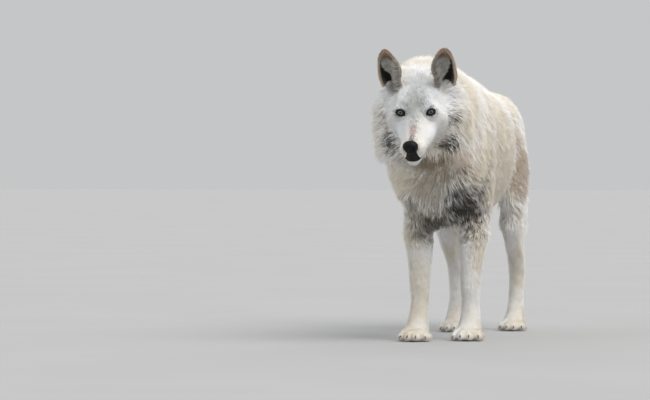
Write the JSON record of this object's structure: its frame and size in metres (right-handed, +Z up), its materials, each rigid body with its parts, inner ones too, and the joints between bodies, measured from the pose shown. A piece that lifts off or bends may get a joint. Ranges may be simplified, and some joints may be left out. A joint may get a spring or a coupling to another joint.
{
  "type": "arctic wolf model",
  "caption": "Standing arctic wolf with a lowered head and pricked ears, as a still life-size museum model with the thick winter coat's outline.",
  "frame": {"origin": "on the floor, under the middle of the wolf's bounding box", "axes": "+Z up, +Y towards the tail, +X towards the wolf's left side; the nose points along -Y"},
  "size_m": [0.3026, 1.345, 0.8203],
  "materials": {
    "coat": "thick matte fur",
    "eye": "glossy, wet",
    "nose_leather": "satin pebbled leather",
    "claw_horn": "smooth dark horn"
  },
  "bodies": {
    "root": {"barrel": "coat", "chest": "coat", "ear_left": "coat", "ear_right": "coat", "eye_left": "eye", "eye_right": "eye", "forearm_left": "coat", "forearm_right": "coat", "foreclaw_left_1": "claw_horn", "foreclaw_left_2": "claw_horn", "foreclaw_left_3": "claw_horn", "foreclaw_left_4": "claw_horn", "foreclaw_right_1": "claw_horn", "foreclaw_right_2": "claw_horn", "foreclaw_right_3": "claw_horn", "foreclaw_right_4": "claw_horn", "forepaw_left": "coat", "forepaw_right": "coat", "head": "coat", "hindclaw_left_1": "claw_horn", "hindclaw_left_2": "claw_horn", "hindclaw_left_3": "claw_horn", "hindclaw_left_4": "claw_horn", "hindclaw_right_1": "claw_horn", "hindclaw_right_2": "claw_horn", "hindclaw_right_3": "claw_horn", "hindclaw_right_4": "claw_horn", "hindpaw_left": "coat", "hindpaw_right": "coat", "lower_jaw": "coat", "muzzle": "coat", "neck": "coat", "nose": "nose_leather", "rump": "coat", "shank_left": "coat", "shank_right": "coat", "shoulder_left": "coat", "shoulder_right": "coat", "tail": "coat", "thigh_left": "coat", "thigh_right": "coat"}
  },
  "joints": []
}
